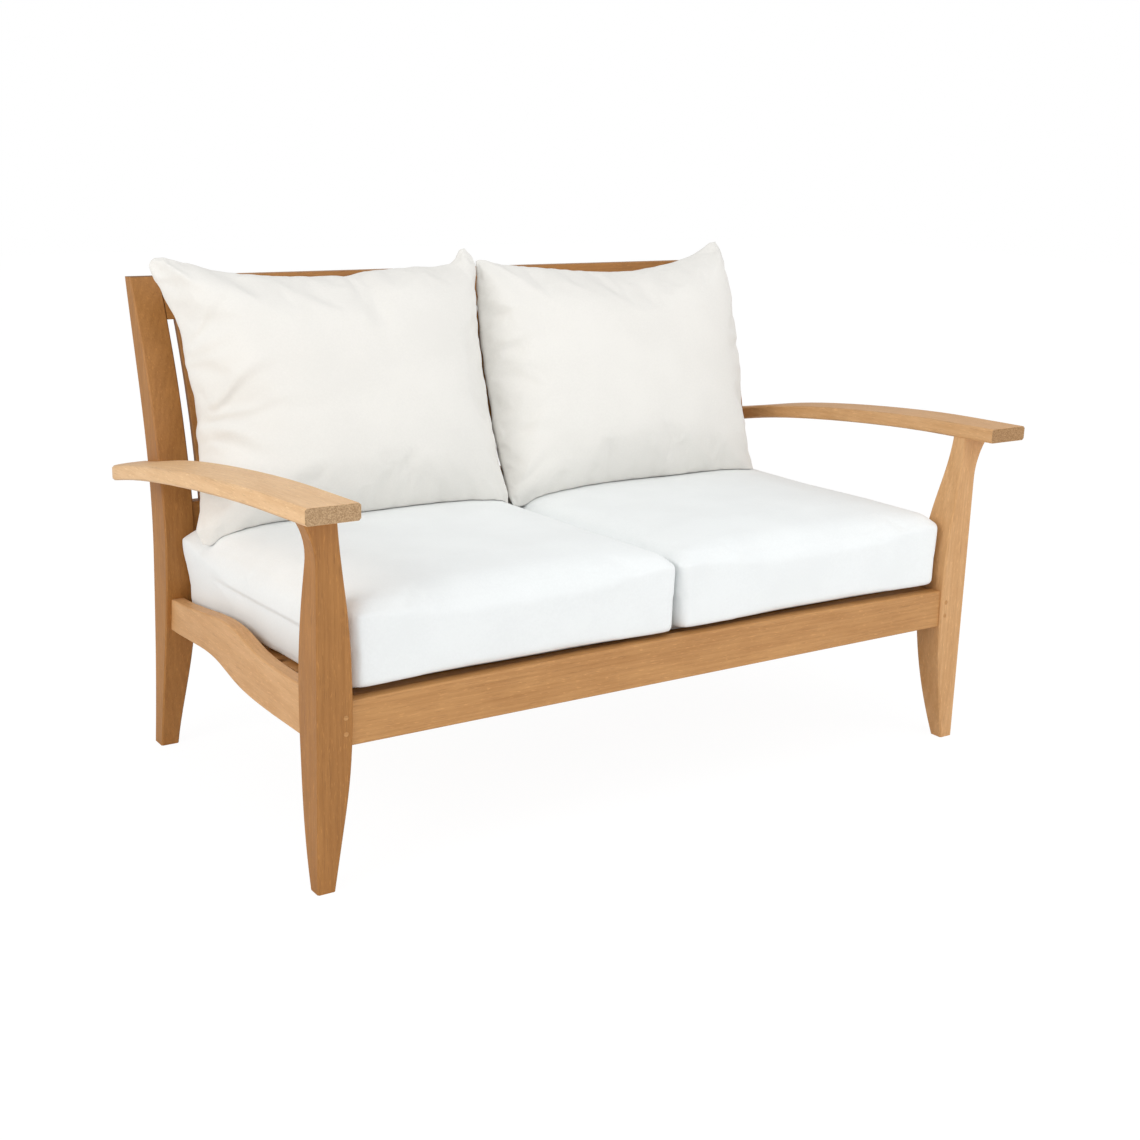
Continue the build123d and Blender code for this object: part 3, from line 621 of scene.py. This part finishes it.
# Back cushions
# Knife-edge pillows: two panels sewn edge to edge over fibre, thin at the seam, with ears at the corners.
# Each is drawn at its photographed outline, settled as cloth and creased where its seams pucker.
pillow_canvas = canvas("canvas_pillows", linear(232, 230, 225))
back_lean = 20.9
pillow_tilt = math.radians(90 - back_lean)
pillow_half_thickness = 0.094
panel_steps = (96, 80)
# The panel's points crowd towards its seams, where it curves most.
crowding = 0.86
# Each outline, in millimetres from the middle of the cushion: blunt ears, dips between them, worn-in sides.
millimetre = 0.001
pillows = {
    "left": dict(
        place=Vector((-0.331, 0.2505, 0.664)), seed=2.0,
        top=[(-323, 250), (-316, 255), (-300, 255), (-283, 251), (-252, 243), (-217, 232), (-171, 225),
             (-124, 219), (-26, 214), (15, 215), (45, 211), (77, 220), (131, 224), (185, 227), (239, 226),
             (273, 230), (287, 241), (300, 258), (312, 260)],
        right=[(308, -252), (310, -228), (307, -189), (304, -149), (303, -80), (305, -1), (306, 68),
               (314, 146), (324, 206), (326, 226), (323, 244), (312, 260)],
        bottom=[(-317, -252), (-303, -256), (-265, -252), (-207, -241), (-130, -239), (-10, -241),
                (95, -239), (201, -243), (285, -253), (308, -252)],
        left=[(-317, -252), (-323, -225), (-311, -191), (-306, -157), (-297, -99), (-292, -52), (-285, -30),
              (-288, 10), (-293, 64), (-291, 126), (-300, 153), (-309, 180), (-318, 207), (-326, 228),
              (-328, 241), (-323, 250)]),
    "right": dict(
        place=Vector((0.303, 0.2505, 0.664)), seed=9.0,
        top=[(-303, 233), (-296, 237), (-280, 234), (-248, 226), (-202, 221), (-132, 215), (-60, 209),
             (-11, 205), (65, 205), (118, 212), (172, 219), (228, 233), (257, 245), (286, 259), (304, 262)],
        right=[(288, -252), (293, -238), (291, -220), (287, -192), (290, -149), (297, -84), (305, -18),
               (311, 47), (313, 134), (312, 210), (312, 240), (304, 262)],
        bottom=[(-315, -250), (-303, -254), (-277, -252), (-205, -246), (-106, -238), (-5, -237), (72, -236),
                (151, -238), (242, -250), (264, -258), (288, -252)],
        left=[(-315, -250), (-321, -228), (-327, -149), (-329, -80), (-326, -1), (-324, 68), (-316, 146),
              (-306, 206), (-304, 222), (-303, 233)]),
}
# Folds that fan out from puckers in the seams: where (u, v), which way in degrees, and how long and high in
# millimetres.
folds = {
    "left": [(-1.0, -0.11, 34, 95, 12.5), (-1.0, -0.17, 4, 105, 13.0), (-1.0, -0.26, -24, 85, 11.0),
             (-1.0, 0.40, 42, 80, 8.0), (-1.0, 0.30, 12, 50, 5.6), (-0.97, 0.97, -62, 85, 10.0),
             (-0.93, 1.0, -84, 65, 7.8), (-1.0, 0.86, -28, 70, 8.4), (0.14, 1.0, -96, 55, 9.0),
             (-0.12, 1.0, -78, 36, 3.0), (0.94, 0.98, -120, 55, 4.0), (-1.0, -0.74, 18, 60, 3.4),
             (0.98, -0.5, 170, 45, 2.8), (0.98, 0.2, 186, 40, 2.6), (0.96, -0.96, 140, 60, 3.4)],
    "right": [(-1.0, 0.57, -18, 70, 5.0), (-1.0, 0.26, 6, 80, 5.6), (-1.0, 0.16, -22, 55, 4.0),
              (-1.0, -0.46, 14, 70, 4.8), (-1.0, -0.84, 34, 80, 5.2), (-0.94, 0.97, -50, 70, 4.2),
              (-0.14, 1.0, -70, 60, 4.4), (0.02, 1.0, -100, 45, 3.2), (0.40, 1.0, -112, 60, 4.2),
              (0.95, 0.97, -128, 85, 4.8), (1.0, 0.35, 184, 45, 2.8), (0.97, -0.93, 150, 75, 4.6),
              (1.0, -0.62, 172, 60, 3.8), (0.10, -1.0, 82, 50, 3.4), (0.36, -1.0, 100, 45, 3.0)],
}
fold_width = 0.0072
# A fold starts narrower than this and widens as it runs, with its ridge beside its hollow.
fold_start_share, fold_spread_share, ridge_share, hollow_share = 0.75, 0.9, 0.7, 0.85
fold_sway, sway_pitch, sway_shift = 0.004, 55, 400
# How far a fold is felt beside its line, along it, and behind its root in the seam.
fold_beside, fold_along, fold_behind = 0.06, 0.2, 0.05
fold_behind_fade = 0.012
# How fast the folds rise from the seam.
fold_onset = 2.6
# The panel's profile between its seams, the seam's waver and the filling's lumps.
plump_power, plump_share = 3.0, 0.56
waver_height, waver_scale = 0.0016, 30
crumple_height, crumple_scale = 0.0018, 16


def along_edge(points, share):
    """The point at a share of the length of an edge."""
    corners = [Vector(point) * millimetre for point in points]
    left = share * sum((after - before).length for before, after in zip(corners, corners[1:]))
    for before, after in zip(corners, corners[1:]):
        step = (after - before).length
        if left <= step:
            return before.lerp(after, left / step)
        left -= step
    return corners[-1]


def panel_grid(shape, shares_across, shares_up):
    """The flat panel's points, blended from its four edges."""
    bottom, top = ([along_edge(shape[edge], s) for s in shares_across] for edge in ("bottom", "top"))
    left, right = ([along_edge(shape[edge], t) for t in shares_up] for edge in ("left", "right"))
    return {(i, j): bottom[i] * (1 - t) + top[i] * t + left[j] * (1 - s) + right[j] * s
            - (bottom[0] * (1 - s) + bottom[-1] * s) * (1 - t)
            - (top[0] * (1 - s) + top[-1] * s) * t
            for i, s in enumerate(shares_across) for j, t in enumerate(shares_up)}


def wavering(spot, scale, depth):
    """Noise over a flat panel, at a depth that tells one use from another."""
    return noise.noise(Vector((spot.x * scale, spot.y * scale, depth)))


def fold_height(creases, spot):
    """The height of the folds at a point: each a ridge beside a hollow that spreads and fades inwards."""
    total = 0.0
    for root, along, length, height in creases:
        step = spot - root
        run, off = step.dot(along), step.dot(Vector((-along.y, along.x)))
        if abs(off) > fold_beside or run > fold_along or run < -fold_behind:
            continue
        off += fold_sway * math.sin(run * sway_pitch + length * sway_shift)
        width = fold_width * (fold_start_share + fold_spread_share * max(run, 0) / length)
        fade = math.exp(-(run / (length if run > 0 else fold_behind_fade)) ** 2)
        ridge = math.exp(-((off - width * ridge_share) / width) ** 2)
        hollow = math.exp(-((off + width * ridge_share) / width) ** 2)
        total += height * fade * (ridge - hollow_share * hollow)
    return total


def pillow_mesh(name, shape):
    """The pillow with +Z out of its face, its seam's points, and how far the folds lift each point."""
    columns, rows = panel_steps
    across, upward = (
        [0.5 + 0.5 * math.sin((k / steps - 0.5) * math.pi * crowding) / math.sin(crowding / 2 * math.pi)
         for k in range(steps + 1)] for steps in panel_steps)
    flat = panel_grid(shape, across, upward)
    creases = []
    for u, v, angle, length, height in folds[name]:
        root = panel_grid(shape, (0, (u + 1) / 2, 1), (0, (v + 1) / 2, 1))[(1, 1)]
        along = Vector((math.cos(math.radians(angle)), math.sin(math.radians(angle))))
        creases.append((root, along, length * millimetre, height * millimetre))
    form = bmesh.new()
    grid = {}
    lifts = []
    for layer in (1, -1):
        for (i, j), spot in flat.items():
            edge = i in (0, columns) or j in (0, rows)
            if edge and (0, i, j) in grid:
                continue
            u, v = 2 * across[i] - 1, 2 * upward[j] - 1
            plump = ((1 - abs(u) ** plump_power) * (1 - abs(v) ** plump_power)) ** plump_share
            rise = layer * pillow_half_thickness * plump
            waver = waver_height * wavering(spot, waver_scale, shape["seed"] * 3) if edge else 0
            grid[(0 if edge else layer, i, j)] = form.verts.new((spot.x + waver, spot.y + waver, rise))
            crumple = crumple_height * wavering(spot, crumple_scale, shape["seed"] + layer)
            fold = fold_height(creases, spot) * min(1, plump * fold_onset)
            lifts.append(0.0 if edge else layer * (fold + crumple))
        for i in range(columns):
            for j in range(rows):
                corners = [(i, j), (i + 1, j), (i + 1, j + 1), (i, j + 1)]
                loop = [grid.get((layer, *corner)) or grid[(0, *corner)] for corner in corners]
                form.faces.new(loop if layer > 0 else loop[::-1])
    form.verts.index_update()
    seam = [vertex.index for (layer, _, _), vertex in grid.items() if layer == 0]
    mesh = bpy.data.meshes.new(name)
    form.to_mesh(mesh)
    form.free()
    return mesh, seam, lifts


def surface_tree(piece):
    """A piece's surface, to cast rays at."""
    return mathutils.bvhtree.BVHTree.FromObject(piece, bpy.context.evaluated_depsgraph_get())


# The front of the back frame, which the pillows lean on, and the tops of the seats that they stand on.
post_tree = surface_tree(bpy.data.objects["teak_back_post_right"])
post_line = 0.632
# Where the rays start: before the back, and above the seats.
before_back = -0.3
above_all = 0.8
rest_step = 0.02
rest_start = 0.40
rest_count = 23
rest_heights = [rest_start + rest_step * index for index in range(rest_count)]
last_share = rest_count - 1.001  # just below the last height
rest_line = [post_tree.ray_cast(Vector((post_line, before_back, height)), Vector((0, 1, 0)))[0].y
             for height in rest_heights]
pillow_clearance = 0.0012


def rest_depth(height):
    """How far back a pillow may reach at a height."""
    share = min(max((height - rest_start) / rest_step, 0), last_share)
    index = int(share)
    return rest_line[index] + (rest_line[index + 1] - rest_line[index]) * (share - index)


seat_trees = [surface_tree(bpy.data.objects["seat_cushion_" + side]) for side in ("left", "right")]


def seat_top(x, y):
    """The height of the seat cushions under a point, or None beside them."""
    hits = [tree.ray_cast(Vector((x, y, above_all)), Vector((0, 0, -1)))[0] for tree in seat_trees]
    heights = [hit.z for hit in hits if hit]
    return max(heights) if heights else None


for side, shape in pillows.items():
    skin, seam, lifts = pillow_mesh(side, shape)
    pillow = bpy.data.objects.new("back_cushion_" + side, skin)
    scene.collection.objects.link(pillow)
    skin = blown(pillow, frames=16, pressure=2.4, shrink=-0.022, cap=0.012, tension=14, bending=0.25,
                 pins=seam)
    for vertex, lift in zip(skin.vertices, lifts):
        vertex.co.z += lift
    skin.transform(Matrix.Translation(shape["place"]) @ Matrix.Rotation(pillow_tilt, 4, "X"))
    for vertex in skin.vertices:
        spot = vertex.co
        spot.y = min(spot.y, rest_depth(spot.z) - pillow_clearance)
        top = seat_top(spot.x, spot.y)
        if top is not None:
            spot.z = max(spot.z, top + pillow_clearance)
    finished(pillow, skin, pillow_canvas)
    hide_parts("back_cover_" + side, "back_fill_" + side)
    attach(pillow, "back_cushion_" + side)

# Zips
# Each cover opens along a zip in its back: a cloth tape sewn in, a row of moulded teeth, and a slider.
# The tape is laid on the settled cloth, and the teeth are set out along its middle row.
zip_columns = 116
slider_column = 6
tape_rows = (-0.011, -0.0055, 0.0, 0.0055, 0.011)
tooth_row = 2
tape_lift = 0.0004
behind_all = 1.0
zip_seats = {"seat": 0.3615, "back": 0.5060}
weave_scale = 900.0
tape_roughness, teeth_roughness = 0.8, 0.35
zip_cloth = Shader("zip_tape")
tape_weave = zip_cloth.noise(zip_cloth.place, weave_scale)
tape_colour = zip_cloth.mix(tape_weave, linear(206, 204, 198), linear(222, 220, 214))
zip_cloth.finish(Base_Color=tape_colour, Roughness=tape_roughness)
zip_plastic = Shader("zip_teeth")
zip_plastic.finish(Base_Color=linear(186, 184, 178), Roughness=teeth_roughness)


def teeth_tree():
    """Nodes that set a tooth on every point marked as the tape's middle, and a slider where it is told."""
    tree = bpy.data.node_groups.new("zip_teeth", "GeometryNodeTree")
    face = tree.interface
    face.new_socket("Tape", in_out="INPUT", socket_type="NodeSocketGeometry")
    for name, value in (("Tooth Size", (0.0024, 0.0009, 0.0052)), ("Slider Size", (0.011, 0.0014, 0.008)),
                        ("Slider Place", (0.0, 0.0, 0.0))):
        face.new_socket(name, in_out="INPUT", socket_type="NodeSocketVector").default_value = value
    for name in ("Cloth", "Plastic"):
        face.new_socket(name, in_out="INPUT", socket_type="NodeSocketMaterial")
    face.new_socket("Zip", in_out="OUTPUT", socket_type="NodeSocketGeometry")

    def add(kind, **links):
        node = tree.nodes.new(kind)
        for key, value in links.items():
            socket = node.inputs[key.replace("_", " ")]
            if isinstance(value, bpy.types.NodeSocket):
                tree.links.new(value, socket)
            else:
                socket.default_value = value
        return node

    given = tree.nodes.new("NodeGroupInput").outputs
    middle = add("GeometryNodeInputNamedAttribute", Name="tooth")
    points = add("GeometryNodeMeshToPoints", Mesh=given["Tape"], Selection=middle.outputs["Attribute"])
    tooth = add("GeometryNodeMeshCube", Size=given["Tooth Size"])
    row = add("GeometryNodeInstanceOnPoints", Points=points.outputs[0], Instance=tooth.outputs["Mesh"])
    slider = add("GeometryNodeMeshCube", Size=given["Slider Size"])
    moved = add("GeometryNodeTransform", Geometry=slider.outputs["Mesh"], Translation=given["Slider Place"])
    hard = tree.nodes.new("GeometryNodeJoinGeometry")
    for part in (row.outputs[0], moved.outputs[0]):
        tree.links.new(part, hard.inputs[0])
    solid = add("GeometryNodeRealizeInstances", Geometry=hard.outputs[0])
    moulded = add("GeometryNodeSetMaterial", Geometry=solid.outputs[0], Material=given["Plastic"])
    cloth = add("GeometryNodeSetMaterial", Geometry=given["Tape"], Material=given["Cloth"])
    whole = tree.nodes.new("GeometryNodeJoinGeometry")
    for part in (moulded.outputs[0], cloth.outputs[0]):
        tree.links.new(part, whole.inputs[0])
    tree.links.new(whole.outputs[0], tree.nodes.new("NodeGroupOutput").inputs[0])
    return tree


zip_tree = teeth_tree()
for kind, height in zip_seats.items():
    for side in ("left", "right"):
        cushion = bpy.data.objects[f"{kind}_cushion_{side}"]
        node_low, node_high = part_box(f"{kind}_zip_{side}")
        skin_tree = surface_tree(cushion)
        tape = bmesh.new()
        mark = tape.verts.layers.float.new("tooth")
        rows = []
        for column in range(zip_columns + 1):
            x = node_low.x + (node_high.x - node_low.x) * column / zip_columns
            spots = [skin_tree.ray_cast(Vector((x, behind_all, height + step)), Vector((0, -1, 0)))[0]
                     for step in tape_rows]
            rows.append([tape.verts.new(spot + Vector((0, tape_lift, 0))) for spot in spots])
            rows[-1][tooth_row][mark] = 1.0
        for before, after in zip(rows, rows[1:]):
            for k in range(len(tape_rows) - 1):
                tape.faces.new((before[k], before[k + 1], after[k + 1], after[k]))
        slider_place = rows[slider_column][tooth_row].co + Vector((0, tape_lift, 0))
        mesh = bpy.data.meshes.new("zip")
        tape.to_mesh(mesh)
        tape.free()
        closure = bpy.data.objects.new(f"{kind}_zip_dressed_{side}", mesh)
        scene.collection.objects.link(closure)
        teeth = closure.modifiers.new("teeth", "NODES")
        teeth.node_group = zip_tree
        names = {item.name: item.identifier for item in zip_tree.interface.items_tree
                 if item.in_out == "INPUT"}
        teeth[names["Slider Place"]] = slider_place
        teeth[names["Cloth"]] = zip_cloth.material
        teeth[names["Plastic"]] = zip_plastic.material
        closure.data = baked(closure)
        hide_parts(f"{kind}_zip_{side}")
        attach(closure, f"{kind}_cushion_{side}")
